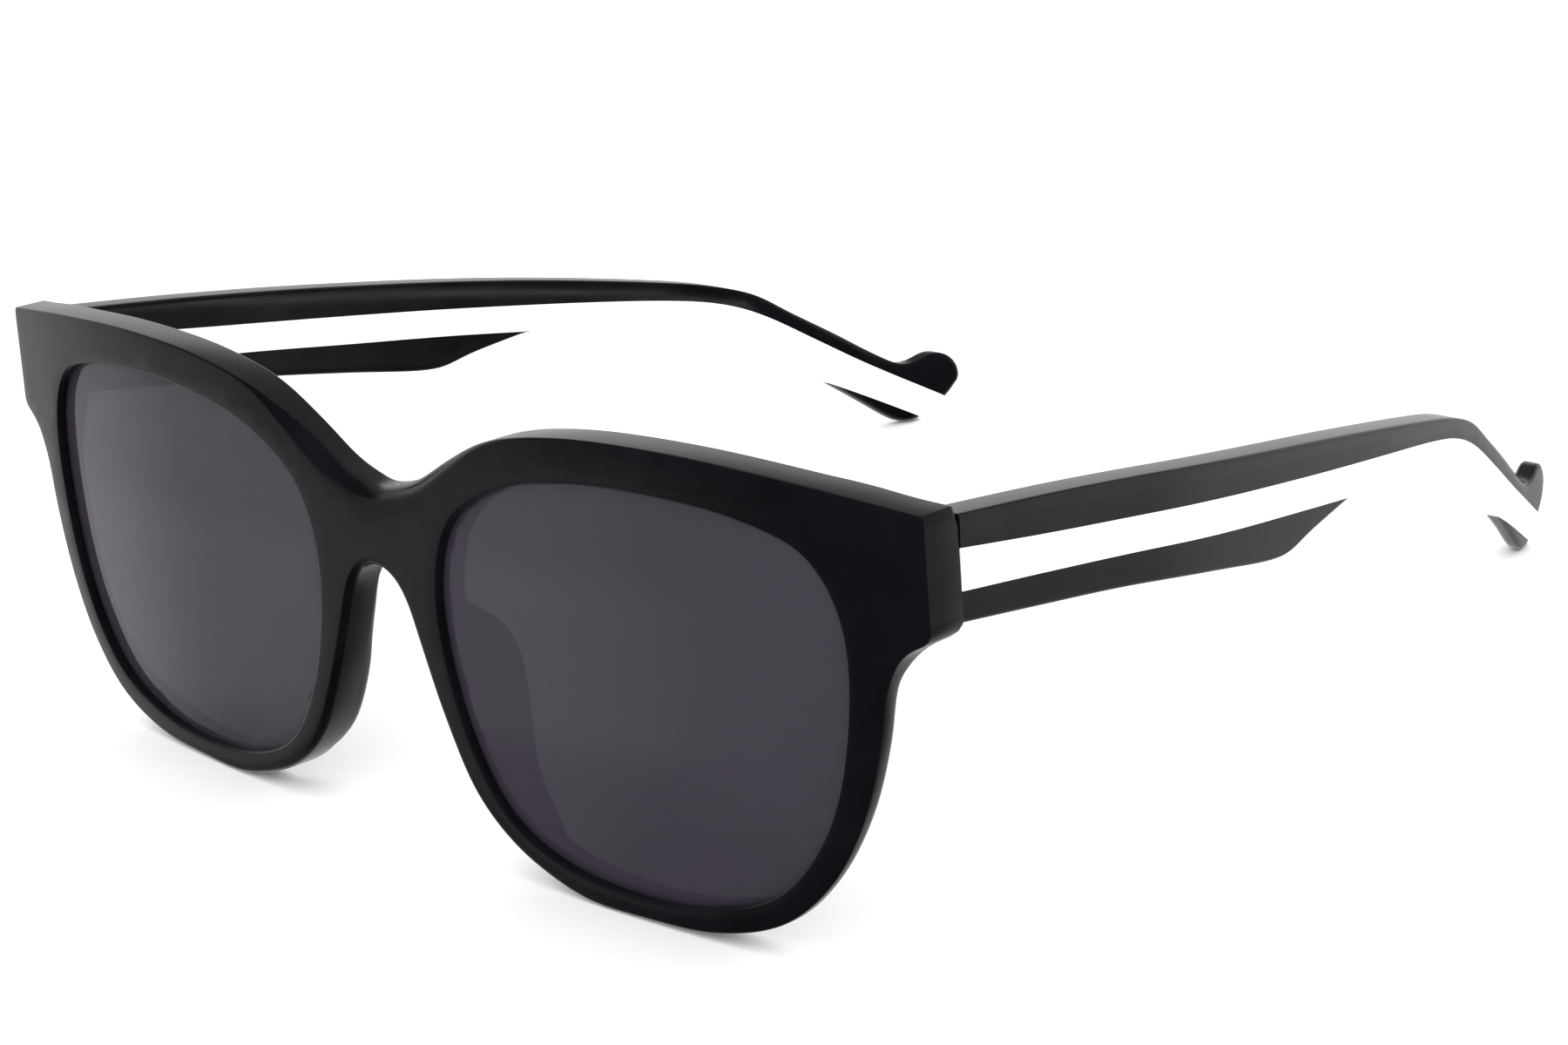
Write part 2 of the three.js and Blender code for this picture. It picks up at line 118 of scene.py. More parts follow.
TEMPLE_THICKNESS = 3.9
TEMPLE_DROP = 8.49  # degrees
TEMPLE_ROOT = Vector((72.5, 10.1, 40.9))
TEMPLE_SPLAY = 0.04
TEMPLE_EDGE = 0.4  # rounding of the temples' edges
TEMPLE_BACK_EDGE = 0.55
TEMPLE_START_SPAN = (-2, 1)  # before which the outline is left as drawn, and not faired
EAR_CURVE = (30, 0.00436, 1.8)  # start along the temple, rate and power
TIP_THINNING = 0.28  # share of the thickness lost towards the tips
TIP_THINNING_SPAN = (98, 121)
TIP_SOFTENING = 0.4  # extra rounding towards the tips
TIP_SOFTENING_SPAN = (104, 119)
UNDER_TIP = (0.6, 1.2)  # extra width and depth of the rounding inside, under the tips
UNDER_TIP_SPAN = (98, 112)
UNDERSIDE_SLOPE = (0, 0.5)  # upward part of an edge's inward normal that makes it an underside
HINGE = Vector((67.2, 10.2, 39.6))
HAIRLINE = 0.03  # gap left at the mitre

# ---------------------------------------------------------------- outlines, in mm

BROW_LINE = [(0, 37.6), (6, 39.3), (12, 42.6), (19, 45.8), (29, 47.7), (44, 48.3), (60, 47.5), (72.2, 46.3)]
ENDPIECE_SIDE = [(72.35, 46), (72.5, 37), (72.6, 34.9), (71.9, 34.2)]
RIM_LINE = [
    (69.3, 32.8), (67.6, 29), (66.8, 24), (64.6, 16.3), (60.8, 9.3), (54.8, 3.7), (46.2, 0.7), (37, 0),
    (28, 0.1), (19.7, 2.5), (13.3, 7.3), (9, 15), (6, 22.6), (4.1, 27.3), (2.2, 29.2), (0, 29.8),
]
LENS_LINE = [
    (10, 30), (12.9, 36.7), (20.8, 41.3), (30.5, 43.3), (41.6, 43.8), (52.5, 43), (59.6, 40.7), (63.1, 35),
    (63.1, 24), (60.1, 13.8), (54, 6.4), (45, 3), (35, 2.1), (25, 3.2), (18, 6.5), (13.2, 13.2), (10.4, 22),
]

TEMPLE_TOP = [
    (-3, 4.4), (17, 5.1), (38, 5.3), (64, 5.1), (86, 4.15), (93.5, 3.5), (100, 2.2), (105.6, -0.35),
    (113, -3.6), (119.8, -6.8), (123.4, -8.2), (125.8, -7.9), (127.4, -6.8),
]
TIP_BULB = ((128.8, -10), 3.5, (114, -53))  # centre, radius, and angles that its arc runs between
TIP_CORNER = (128.7, -15)
UPPER_SEAM = [
    (-6, 1.4), (12, 1.3), (25, 1.4), (39, 1.55), (54, 1.75), (77, 1.85), (87, 1.7), (93, 1.3), (97.5, 0.5),
    (102, -0.95), (109.3, -4.1), (117.6, -7.75), (130.3, -12.9), (134, -14.4),
]
LOWER_SEAM = [(-6, -2.8), (12, -2.35), (26, -2.1), (39.5, -2), (55, -1.7), (66.6, -1.6)]
EAR_EDGE = [(66.6, -1.6), (75, -1.5), (84, -1.6), (92, -2.6), (99, -4.7), (105.5, -7.3), (113, -10.6)]
TIP_SEAM = [(113, -10.6), (118.5, -12.6), (126.2, -15.5), (134, -18.4)]
LOWER_EDGE = [
    (-3, -5.7), (12, -5.5), (25, -5.4), (39.8, -5.75), (50.8, -6.1), (54, -5.8), (57.5, -4.4), (66.6, -1.6),
]
TIP_EDGE = [
    (113, -10.6), (116, -12.2), (118.8, -13.7), (121.3, -15.1), (123.4, -16.2), (125, -16.7), (126.6, -16.2),
]

# ---------------------------------------------------------------- fineness of the meshes

LOOP_SPACING = 0.7  # of the points round the front and the lenses, in mm
FAIRING = 6  # passes
TEMPLE_SPACING = 0.8
TEMPLE_FAIRING = 3
SEAM_SPACING = 1.5
TEMPLE_WALL_ROWS = [(0, 1.2), (0, 1.6)]  # inset and depth of extra rows of points down the wall
PLATE_GRID = 1.6  # size of the triangles on the faces
LENS_GRID = 1.8
CLEAR_OF_EDGE = 0.55  # share of the grid that its points keep away from an edge
SHARP_ANGLE = 40  # degrees between two faces, past which the edge between them shows

# ---------------------------------------------------------------- curves


def smoothstep(x, low, high):
    t = np.clip((np.asarray(x, float) - low) / (high - low), 0, 1)
    return t * t * (3 - 2 * t)


def spline(points, closed=False, steps=24):
    """A dense centripetal Catmull-Rom curve through the points."""
    p = np.array(points, float)
    if closed:
        ends = np.vstack([p[-1:], p, p[:2]])
    else:
        ends = np.vstack([2 * p[0] - p[1], p, 2 * p[-1] - p[-2]])
    t = np.linspace(0, 1, steps, endpoint=False)[:, None]
    pieces = []
    for a, b, c, d in zip(ends, ends[1:], ends[2:], ends[3:]):
        ka, kb, kc = (math.sqrt(np.linalg.norm(v - u)) for u, v in ((a, b), (b, c), (c, d)))
        start = kb * ((b - a) / ka - (c - a) / (ka + kb) + (c - b) / kb)
        end = kb * ((c - b) / kb - (d - b) / (kb + kc) + (d - c) / kc)
        hermite = (2 * t**3 - 3 * t**2 + 1, t**3 - 2 * t**2 + t, 3 * t**2 - 2 * t**3, t**3 - t**2)
        pieces.append(hermite[0] * b + hermite[1] * start + hermite[2] * c + hermite[3] * end)
    line = np.vstack(pieces)
    return line if closed else np.vstack([line, p[-1:]])


def spaced(line, spacing, closed=False):
    """The same line with its points spaced evenly."""
    if closed:
        line = np.vstack([line, line[:1]])
    run = np.concatenate([[0], np.cumsum(np.linalg.norm(np.diff(line, axis=0), axis=1))])
    count = max(2, round(run[-1] / spacing))
    at = np.linspace(0, run[-1], count + 1)
    even = np.column_stack([np.interp(at, run, column) for column in line.T])
    return even[:-1] if closed else even


def arc(centre, radius, angles, count=16):
    a = np.radians(np.linspace(*angles, count + 1))
    return np.array(centre) + radius * np.column_stack([np.cos(a), np.sin(a)])


def faired(loop, passes, keep=None):
    """A closed loop with its small waves averaged out; keep is 1 where a point should stay put."""
    share = 0.25 * (1 - (np.zeros(len(loop)) if keep is None else keep))[:, None]
    for _ in range(passes):
        loop = loop + share * (np.roll(loop, 1, 0) + np.roll(loop, -1, 0) - 2 * loop)
    return loop


def area(loop):
    x, y = loop.T
    return 0.5 * float(np.sum(x * np.roll(y, -1) - np.roll(x, -1) * y))


def inward_normals(loop):
    tangent = np.roll(loop, -1, 0) - np.roll(loop, 1, 0)
    tangent /= np.linalg.norm(tangent, axis=1)[:, None]
    normal = np.column_stack([-tangent[:, 1], tangent[:, 0]])
    return normal * math.copysign(1, area(loop))


def inside(points, loop):
    """Which of the points lie inside a closed loop."""
    x, y = points.T
    odd = np.zeros(len(points), bool)
    for (x0, y0), (x1, y1) in zip(loop, np.roll(loop, -1, 0)):
        crosses = (y0 > y) != (y1 > y)
        if crosses.any():
            odd ^= crosses & (x < x0 + (y - y0) * (x1 - x0) / (y1 - y0 if y1 != y0 else 1))
    return odd


def front_depth(x):
    return WRAP_SQUARE * x**2 + WRAP_FOURTH * x**4


def thinned(points):
    """How far a point is into the thinned part of the rims, from 0 to 1."""
    x, z = np.abs(points[:, 0]), points[:, 1]
    return smoothstep(x, *THINNING_SPAN) * (1 - smoothstep(z, *THINNING_HEIGHTS))


def front_thickness(points):
    x, z = np.abs(points[:, 0]), points[:, 1]
    swell = (ENDPIECE_THICKNESS - RIM_THICKNESS) * smoothstep(x, *SWELL_SPAN)
    top = TOP_THICKENING * smoothstep(z, *TOP_HEIGHTS) * (1 - smoothstep(x, *TOP_SPAN))
    return RIM_THICKNESS + swell + top - THINNING * thinned(points)


# ---------------------------------------------------------------- from the drawing to the part


def turn(degrees, axis):
    return Matrix.Rotation(math.radians(degrees), 4, axis)


joint = next(j for j in frame["joints"] if j["name"] == "left_temple_fold")
joint_axis = Vector(joint["axis"])
TILT = math.atan2(joint_axis.y, joint_axis.z)
TO_PART = (
    Matrix.Translation(joint["pos_m"])
    @ Matrix.Rotation(-TILT, 4, "X")
    @ Matrix.Scale(MM, 4)
    @ Matrix.Translation(-HINGE)
)
TEMPLE_TO_FRONT = Matrix.Translation((0, TEMPLE_ROOT.y, TEMPLE_ROOT.z)) @ turn(-TEMPLE_DROP, "X")

# ---------------------------------------------------------------- camera

CAMERA_PLACE = Vector((265.83, -197.11, 133.09))  # on the drawing, in mm
CAMERA_AZIMUTH = 46.122  # degrees; 0 looks along +Y
CAMERA_ELEVATION = 17.172
CAMERA_ROLL = -3.425
CAMERA_LENS = 77.2  # in mm, like the sensor
CAMERA_SENSOR = 36


def add_camera():
    data = bpy.data.cameras.new("camera")
    data.sensor_width = CAMERA_SENSOR
    data.lens = CAMERA_LENS
    data.clip_start = 0.01
    camera = bpy.data.objects.new("camera", data)
    bpy.context.scene.collection.objects.link(camera)
    heading = turn(CAMERA_AZIMUTH, "Z") @ turn(90 - CAMERA_ELEVATION, "X") @ turn(CAMERA_ROLL, "Z")
    leaning = Matrix.Rotation(-TILT, 4, "X") @ heading
    camera.matrix_world = Matrix.Translation(TO_PART @ CAMERA_PLACE) @ leaning
    bpy.context.scene.camera = camera


# ---------------------------------------------------------------- placing the front and the temples


def apply(matrix, points):
    """Moves an array of points by a matrix."""
    m = np.array(matrix)
    return points @ m[:3, :3].T + m[:3, 3]


def place_front(points, depth):
    """Where a point [x, z] of the front lies, at a depth behind its face."""
    x, z = points.T
    y = np.minimum(front_depth(x) + depth, HINGE.y - HAIRLINE)
    return np.column_stack([x, y, z])


def temple_x(along):
    start, rate, power = EAR_CURVE
    return TEMPLE_ROOT.x - TEMPLE_SPLAY * along - rate * np.maximum(0, along - start) ** power


def place_temple(side):
    def place(points, depth):
        """Where a point [along, up] of the temple lies, at a depth inside its outer face."""
        along, up = points.T
        depth = depth * (1 - TIP_THINNING * smoothstep(along, *TIP_THINNING_SPAN))
        bent = np.column_stack([side * (temple_x(along) - depth), along, up])
        return apply(TEMPLE_TO_FRONT, bent)
    return place


# ---------------------------------------------------------------- meshes


def edge_rings(loop, inward, thickness, front_radius, back_radius, groove=(), steps=6):
    """The rings round one edge of a plate: over the front rounding, down the wall, over the back one.

    back_radius may be a pair: how far the rounding reaches across the plate, and through it.
    groove holds the inset and depth of each ring down the wall."""
    front = np.broadcast_to(front_radius, len(loop))
    across, through = back_radius if isinstance(back_radius, tuple) else (back_radius, back_radius)
    across, through = np.broadcast_to(across, len(loop)), np.broadcast_to(through, len(loop))
    angles = np.radians(np.linspace(0, 90, steps + 1))
    for a in angles:
        yield loop + inward * (front * (1 - math.sin(a)))[:, None], front * (1 - math.cos(a))
    for inset, depth in groove:
        yield loop + inward * inset, np.full(len(loop), depth)
    for a in angles:
        yield loop + inward * (across * (1 - math.cos(a)))[:, None], thickness - through * (1 - math.sin(a))


def add_cap(bm, loops, loop_verts, depth_at, place, grid):
    """Fills between the loops with small triangles: the first loop is the outline, the rest are holes."""
    outline = loops[0]
    low, high = outline.min(0), outline.max(0)
    xs, ys = (np.arange(a + grid, b, grid) for a, b in zip(low, high))
    points = np.stack(np.meshgrid(xs, ys), -1).reshape(-1, 2)
    wanted = inside(points, outline)
    for hole in loops[1:]:
        wanted &= ~inside(points, hole)
    border = np.vstack(loops)
    batch = 400
    for start in range(0, len(points), batch):
        part = slice(start, start + batch)
        gap = np.linalg.norm(points[part, None] - border[None], axis=2).min(1)
        wanted[part] &= gap > CLEAR_OF_EDGE * grid
    points = points[wanted]
    flat = [v for verts in loop_verts for v in verts]
    edges = []
    for loop in loops:
        base = len(edges)
        edges += [(base + i, base + (i + 1) % len(loop)) for i in range(len(loop))]
    coords = [Vector(p) for p in np.vstack([border, points])]
    flat += [bm.verts.new(p) for p in place(points, depth_at(points))] if len(points) else []
    found, _, faces, origins, _, _ = delaunay_2d_cdt(coords, edges, [], 0, 1e-6)
    corners = np.array([list(p) for p in found])
    faces = [f for f in faces if len(set(origins[i][0] for i in f if origins[i])) == 3]
    centres = np.array([corners[list(f)].mean(0) for f in faces])
    filled = inside(centres, outline)
    for hole in loops[1:]:
        filled &= ~inside(centres, hole)
    for face, keep in zip(faces, filled):
        if keep:
            bm.faces.new([flat[origins[i][0]] for i in face])


def all_at(depth):
    """The depth function of a face that lies at one depth all over."""
    return lambda points: np.full(len(points), float(depth))


def plate(ring_sets, depth_back, place, grid):
    """A closed plate with holes, from the rings of each of its edges, in drawing coordinates."""
    bm = bmesh.new()
    fronts, backs = [], []
    for rings in ring_sets:
        rings = list(rings)
        rows = [[bm.verts.new(p) for p in place(points, depth)] for points, depth in rings]
        for upper, lower in zip(rows, rows[1:]):
            for i in range(len(upper)):
                j = (i + 1) % len(upper)
                bm.faces.new((upper[i], upper[j], lower[j], lower[i]))
        fronts.append((rings[0][0], rows[0]))
        backs.append((rings[-1][0], rows[-1]))
    for ends, depth_at in ((fronts, all_at(0)), (backs, depth_back)):
        add_cap(bm, [e[0] for e in ends], [e[1] for e in ends], depth_at, place, grid)
    bmesh.ops.recalc_face_normals(bm, faces=bm.faces)
    return bm


def finish_mesh(name, bm, sharp=SHARP_ANGLE):
    """Turns a drawing-space bmesh into a smooth-shaded object in the part's frame."""
    mesh = bpy.data.meshes.new(name)
    bm.to_mesh(mesh)
    bm.free()
    mesh.transform(TO_PART)
    mesh.shade_smooth()
    mesh.set_sharp_from_angle(angle=math.radians(sharp))
    made = bpy.data.objects.new(name, mesh)
    bpy.context.scene.collection.objects.link(made)
    return made


def prism(outline, low, high, matrix):
    """A bmesh prism of an outline [y, z], along X from low to high, moved by the matrix."""
    bm = bmesh.new()
    ends = []
    for x in (low, high):
        ends.append([bm.verts.new((x, a, b)) for a, b in outline])
    bm.faces.new(ends[0])
    bm.faces.new(ends[1][::-1])
    for i in range(len(outline)):
        j = (i + 1) % len(outline)
        bm.faces.new((ends[0][i], ends[0][j], ends[1][j], ends[1][i]))
    bmesh.ops.transform(bm, matrix=matrix, verts=bm.verts)
    bmesh.ops.recalc_face_normals(bm, faces=bm.faces)
    return bm


def boolean(target, tool, operation):
    """Cuts target by tool or keeps what they share, and removes tool."""
    modifier = target.modifiers.new("cut", "BOOLEAN")
    modifier.operation = operation
    modifier.object = tool
    modifier.solver = "EXACT"
    graph = bpy.context.evaluated_depsgraph_get()
    result = bpy.data.meshes.new_from_object(target.evaluated_get(graph))
    target.modifiers.clear()
    target.data = result
    bpy.data.objects.remove(tool)


def copy_of(source, name):
    made = bpy.data.objects.new(name, source.data.copy())
    bpy.context.scene.collection.objects.link(made)
    return made


# ---------------------------------------------------------------- front


def front_outline():
    brow = spaced(spline(BROW_LINE), LOOP_SPACING)
    side = spaced(np.array(ENDPIECE_SIDE, float), LOOP_SPACING)
    rim = spaced(spline(RIM_LINE), LOOP_SPACING)
    half = np.vstack([brow, side, rim])
    mirrored = half[1:-1][::-1] * (-1, 1)
    loop = spaced(np.vstack([half, mirrored]), LOOP_SPACING, closed=True)
    corner = smoothstep(np.abs(loop[:, 0]), *CORNER_SPAN)
    return faired(loop, FAIRING, CORNER_HOLD * corner)


def lens_opening(side):
    loop = faired(spaced(spline(LENS_LINE, closed=True), LOOP_SPACING, closed=True), FAIRING)
    return loop * (side, 1)


def front_edges(outline):
    """How far the front's outer edge is rounded at its face, and at its back across and through."""
    x, z = np.abs(outline[:, 0]), outline[:, 1]
    over_bridge = (1 - smoothstep(x, *BRIDGE_SPAN)) * smoothstep(z, *BRIDGE_HEIGHTS)
    by_nose = (1 - smoothstep(x, *NOSE_SPAN)) * (1 - smoothstep(z, *NOSE_HEIGHTS))
    front = EDGE + (BRIDGE_EDGE - EDGE) * over_bridge + (NOSE_EDGE - EDGE) * by_nose
    at_pad = (1 - smoothstep(x, *PAD_SPAN)) * (1 - smoothstep(z, *PAD_HEIGHTS))
    above_temple = smoothstep(x, *STEP_SPAN) * smoothstep(z, *STEP_HEIGHTS)
    at_mitre = smoothstep(x, *MITRE_SPAN) * smoothstep(z, *MITRE_HEIGHTS) - above_temple
    plain = BACK_EDGE * (1 - SHARPENING * np.maximum(at_pad, at_mitre)) + TEMPLE_STEP * above_temple
    taper = thinned(outline)
    wide = taper * (0.5 + 0.5 * smoothstep(z, *TAPER_HEIGHTS))
    across, through = RIM_TAPER
    return front, (plain + (across - plain) * wide, plain + (through - plain) * taper)


def lens_groove():
    """The groove that holds a lens, as the inset and depth of each of its corners."""
    top = LENS_INSET - HAIRLINE
    base = LENS_INSET + LENS_TEMPORAL + LENS_THICKNESS + HAIRLINE
    reach = LENS_EDGE + HAIRLINE
    return [(0, top), (reach, top), (reach, base), (0, base)]


def build_front():
    outline = front_outline()
    rings = [edge_rings(outline, inward_normals(outline), front_thickness(outline), *front_edges(outline))]
    for side in SIDES.values():
        opening = lens_opening(side)
        outward, thickness = -inward_normals(opening), front_thickness(opening)
        rings.append(edge_rings(opening, outward, thickness, EDGE, OPENING_BACK_EDGE, lens_groove()))
    return finish_mesh("front_shell", plate(rings, front_thickness, place_front, PLATE_GRID))


def build_lens(name, side):
    opening = lens_opening(side)
    loop = opening - inward_normals(opening) * (LENS_EDGE - LENS_PLAY)
    centre = (loop.min(0) + loop.max(0)) / 2
    reach = (loop.max(0) - loop.min(0)) / 2

    def crown(points):
        share = np.clip((((points - centre) / reach) ** 2).sum(1), 0, 1)
        temporal = LENS_TEMPORAL * smoothstep(np.abs(points[:, 0]), centre[0] * side, LENS_TEMPORAL_END)
        return LENS_INSET + temporal - LENS_CROWN * (1 - share)

    def place(points, depth):
        return place_front(points, depth + crown(points))

    back = all_at(LENS_THICKNESS)
    rings = edge_rings(loop, inward_normals(loop), back(loop), LENS_ROUNDING, LENS_ROUNDING, steps=2)
    return finish_mesh(f"{name}_lens_shell", plate([rings], back, place, LENS_GRID))


# ---------------------------------------------------------------- nose pads

PAD_FROM = 4.3  # distances from the middle between which a pad follows the rim
PAD_TO = 22.5
# Along the pad, from 0 at the top to 1 at the foot: how far it reaches behind the lens,
# how deep its ridge beside the nose lies, and how deep its outer edge.
PAD_REACH = [
    (0, 0.7), (0.04, 2.4), (0.1, 4.6), (0.17, 6.2), (0.26, 6.9), (0.36, 6.5),
    (0.47, 5.3), (0.58, 4.2), (0.69, 3.2), (0.8, 2.4), (0.9, 1.6), (1, 0.7),
]
PAD_RIDGE = [(0, 4.1), (0.05, 4.5), (0.26, 4.9), (0.47, 5.5), (0.7, 5.5), (0.88, 5.3), (1, 3.9)]
PAD_BACK = [(0, 4.2), (0.1, 5.8), (0.26, 7.0), (0.47, 7.0), (0.7, 6.4), (0.88, 5.7), (1, 4.0)]
PAD_SEAT = 3.3  # depth at which a pad begins, inside the rim
PAD_UNDERSIDE = 3.6  # least depth of the face that it turns to the lens
PAD_SPACING = 0.9  # of the sections along a pad
PAD_POINTS = 44  # round each section
PAD_SHARP_ANGLE = 60


def pad_section(reach, ridge, back):
    """One section of the pad, as [away from the nose, depth]."""
    rise = back - ridge
    root = min(0.4 * reach, 2.2)
    line = [
        (0.35, PAD_SEAT), (0.35, 3.9), (0.45, ridge - 0.4), (0.7, ridge),
        (0.3 * reach, ridge + 0.45 * rise), (0.65 * reach, ridge + 0.85 * rise),
        (reach - 0.25, back), (reach, back - 0.4), (reach - 0.3, max(back - 0.9, 3.7)),
        (0.7 * reach, max(back - 1.7, PAD_UNDERSIDE)), (root, PAD_UNDERSIDE), (root, PAD_SEAT),
    ]
    return spaced(spline(line, closed=True, steps=8), 0.25, closed=True)


def build_nose_pad(name, side):
    rim = spline(RIM_LINE)[::-1]
    rim = spaced(rim[(rim[:, 0] > PAD_FROM) & (rim[:, 0] < PAD_TO)], PAD_SPACING)
    tangent = np.gradient(rim, axis=0)
    tangent /= np.linalg.norm(tangent, axis=1)[:, None]
    outward = np.column_stack([-tangent[:, 1], tangent[:, 0]])
    share = np.linspace(0, 1, len(rim))
    sizes = []
    for table in (PAD_REACH, PAD_RIDGE, PAD_BACK):
        curve = spline(table)
        sizes.append(np.interp(share, curve[:, 0], curve[:, 1]))
    bm = bmesh.new()
    rows = []
    for start, away, *size in zip(rim, outward, *sizes):
        section = pad_section(*size)
        at = np.arange(PAD_POINTS) * len(section) / PAD_POINTS
        closed = np.vstack([section, section[:1]])
        ring = np.column_stack([np.interp(at, np.arange(len(closed)), column) for column in closed.T])
        x, z = (start + ring[:, :1] * away).T
        points = np.column_stack([side * x, ring[:, 1] + front_depth(x), z])
        rows.append([bm.verts.new(p) for p in points])
    for upper, lower in zip(rows, rows[1:]):
        for i in range(PAD_POINTS):
            j = (i + 1) % PAD_POINTS
            bm.faces.new((upper[i], upper[j], lower[j], lower[i]))
    bm.faces.new(rows[0])
    bm.faces.new(rows[-1][::-1])
    bmesh.ops.recalc_face_normals(bm, faces=bm.faces)
    return finish_mesh(f"{name}_nose_pad_shell", bm, PAD_SHARP_ANGLE)


# ---------------------------------------------------------------- temples


def temple_outline():
    centre, radius, angles = TIP_BULB
    top, tip, ear, lower = (
        spaced(spline(edge), TEMPLE_SPACING) for edge in (TEMPLE_TOP, TIP_EDGE, EAR_EDGE, LOWER_EDGE)
    )
    back = np.vstack([tip[::-1][:-1], ear[::-1][:-1], lower[::-1]])
    line = np.vstack([top[:-1], arc(centre, radius, angles), [TIP_CORNER], back])
    loop = spaced(line, TEMPLE_SPACING, closed=True)
    return faired(loop, TEMPLE_FAIRING, 1 - smoothstep(loop[:, 0], *TEMPLE_START_SPAN))


ABOVE = 30  # heights well past a temple's edges
BELOW = -40
ACROSS = 90  # distance from the middle, well past a temple's outer face


def seam_region(seam, far):
    """The region from a seam to a height well past the temple's edge."""
    line = spaced(spline(seam), SEAM_SPACING)
    return np.vstack([line, [(line[-1, 0], far), (line[0, 0], far)]])


def temple_body(name, side):
    """A whole temple, cut off square where it meets the front."""
    loop = temple_outline()
    back = all_at(TEMPLE_THICKNESS)
    inward = inward_normals(loop)
    softer = TIP_SOFTENING * smoothstep(loop[:, 0], *TIP_SOFTENING_SPAN)
    under_tip = smoothstep(inward[:, 1], *UNDERSIDE_SLOPE) * smoothstep(loop[:, 0], *UNDER_TIP_SPAN)
    back_radius = tuple(TEMPLE_BACK_EDGE + softer + extra * under_tip for extra in UNDER_TIP)
    rings = edge_rings(loop, inward, back(loop), TEMPLE_EDGE + softer, back_radius, TEMPLE_WALL_ROWS)
    bm = plate([rings], back, place_temple(side), PLATE_GRID)
    geometry = [*bm.verts, *bm.edges, *bm.faces]
    start = (0, HINGE.y + HAIRLINE, 0)
    cut = bmesh.ops.bisect_plane(bm, geom=geometry, plane_co=start, plane_no=(0, -1, 0), clear_outer=True)
    rim = [e for e in cut["geom_cut"] if isinstance(e, bmesh.types.BMEdge)]
    bmesh.ops.holes_fill(bm, edges=rim, sides=0)
    bmesh.ops.recalc_face_normals(bm, faces=bm.faces)
    return finish_mesh(f"{name}_temple_body", bm)


def build_temple(name, side):
    """The layers of a temple: each seam cuts one off, and what is left is the middle layer."""
    body = temple_body(name, side)
    regions = {
        "upper_layer": seam_region(UPPER_SEAM, ABOVE),
        "lower_layer": seam_region(LOWER_SEAM, BELOW),
        "tip_inlay": seam_region(TIP_SEAM, BELOW),
    }
    layers = {}
    middle = copy_of(body, f"{name}_temple_middle_layer_shell")
    for layer, region in regions.items():
        layers[layer] = copy_of(body, f"{name}_temple_{layer}_shell")
        for target, operation in ((layers[layer], "INTERSECT"), (middle, "DIFFERENCE")):
            tool = finish_mesh("region", prism(region, -ACROSS, ACROSS, TEMPLE_TO_FRONT))
            boolean(target, tool, operation)
    layers["middle_layer"] = middle
    bpy.data.objects.remove(body)
    for piece in layers.values():
        piece.data.set_sharp_from_angle(angle=math.radians(SHARP_ANGLE))
    return layers


# ---------------------------------------------------------------- materials

NOISE_RANGE = (0.3, 0.7)  # that a noise texture mostly keeps to
TINT_STOPS = (0.35, 0.65)  # noise values at which the dark and the light tint are reached
BROKEN_EDGE = 0.06 * MM  # bevel of the machined metal parts
BROKEN_ANGLE = 35  # degrees between faces, past which an edge is bevelled
WELD_GAP = 1e-6  # m


def new_material(name, colour, roughness, **sockets):
    material = bpy.data.materials.new(name)
    material.use_nodes = True
    shader = material.node_tree.nodes["Principled BSDF"]
    shader.inputs["Base Color"].default_value = (*colour, 1)
    shader.inputs["Roughness"].default_value = roughness
    for socket, value in sockets.items():
        shader.inputs[socket.replace("_", " ")].default_value = value
    return material, shader


def add_noise(material, scale, detail, stretch=(1, 1, 1)):
    nodes, links = material.node_tree.nodes, material.node_tree.links
    place = nodes.new("ShaderNodeTexCoord")
    mapping = nodes.new("ShaderNodeMapping")
    mapping.inputs["Scale"].default_value = stretch
    noise = nodes.new("ShaderNodeTexNoise")
    noise.inputs["Scale"].default_value = scale
    noise.inputs["Detail"].default_value = detail
    links.new(place.outputs["Object"], mapping.inputs["Vector"])
    links.new(mapping.outputs["Vector"], noise.inputs["Vector"])
    return noise


def set_range(node, low, high, start, end):
    """Makes a Map Range node take low to high over to start to end."""
    for socket, value in zip(("From Min", "From Max", "To Min", "To Max"), (low, high, start, end)):
        node.inputs[socket].default_value = value


def vary_roughness(material, shader, noise, low, high):
    """Lets a noise texture move the roughness between low and high."""
    spread = material.node_tree.nodes.new("ShaderNodeMapRange")
    set_range(spread, *NOISE_RANGE, low, high)
    material.node_tree.links.new(noise.outputs["Fac"], spread.inputs["Value"])
    material.node_tree.links.new(spread.outputs["Result"], shader.inputs["Roughness"])


def tint(material, shader, noise, dark, light):
    """Lets a noise texture move the colour between dark and light."""
    ramp = material.node_tree.nodes.new("ShaderNodeValToRGB")
    for element, stop, colour in zip(ramp.color_ramp.elements, TINT_STOPS, (dark, light)):
        element.position = stop
        element.color = (*colour, 1)
    material.node_tree.links.new(noise.outputs["Fac"], ramp.inputs["Fac"])
    material.node_tree.links.new(ramp.outputs["Color"], shader.inputs["Base Color"])


def add_bump(material, shader, source, strength, distance):
    bump = material.node_tree.nodes.new("ShaderNodeBump")
    bump.inputs["Strength"].default_value = strength
    bump.inputs["Distance"].default_value = distance
    material.node_tree.links.new(source.outputs["Fac"], bump.inputs["Height"])
    material.node_tree.links.new(bump.outputs["Normal"], shader.inputs["Normal"])


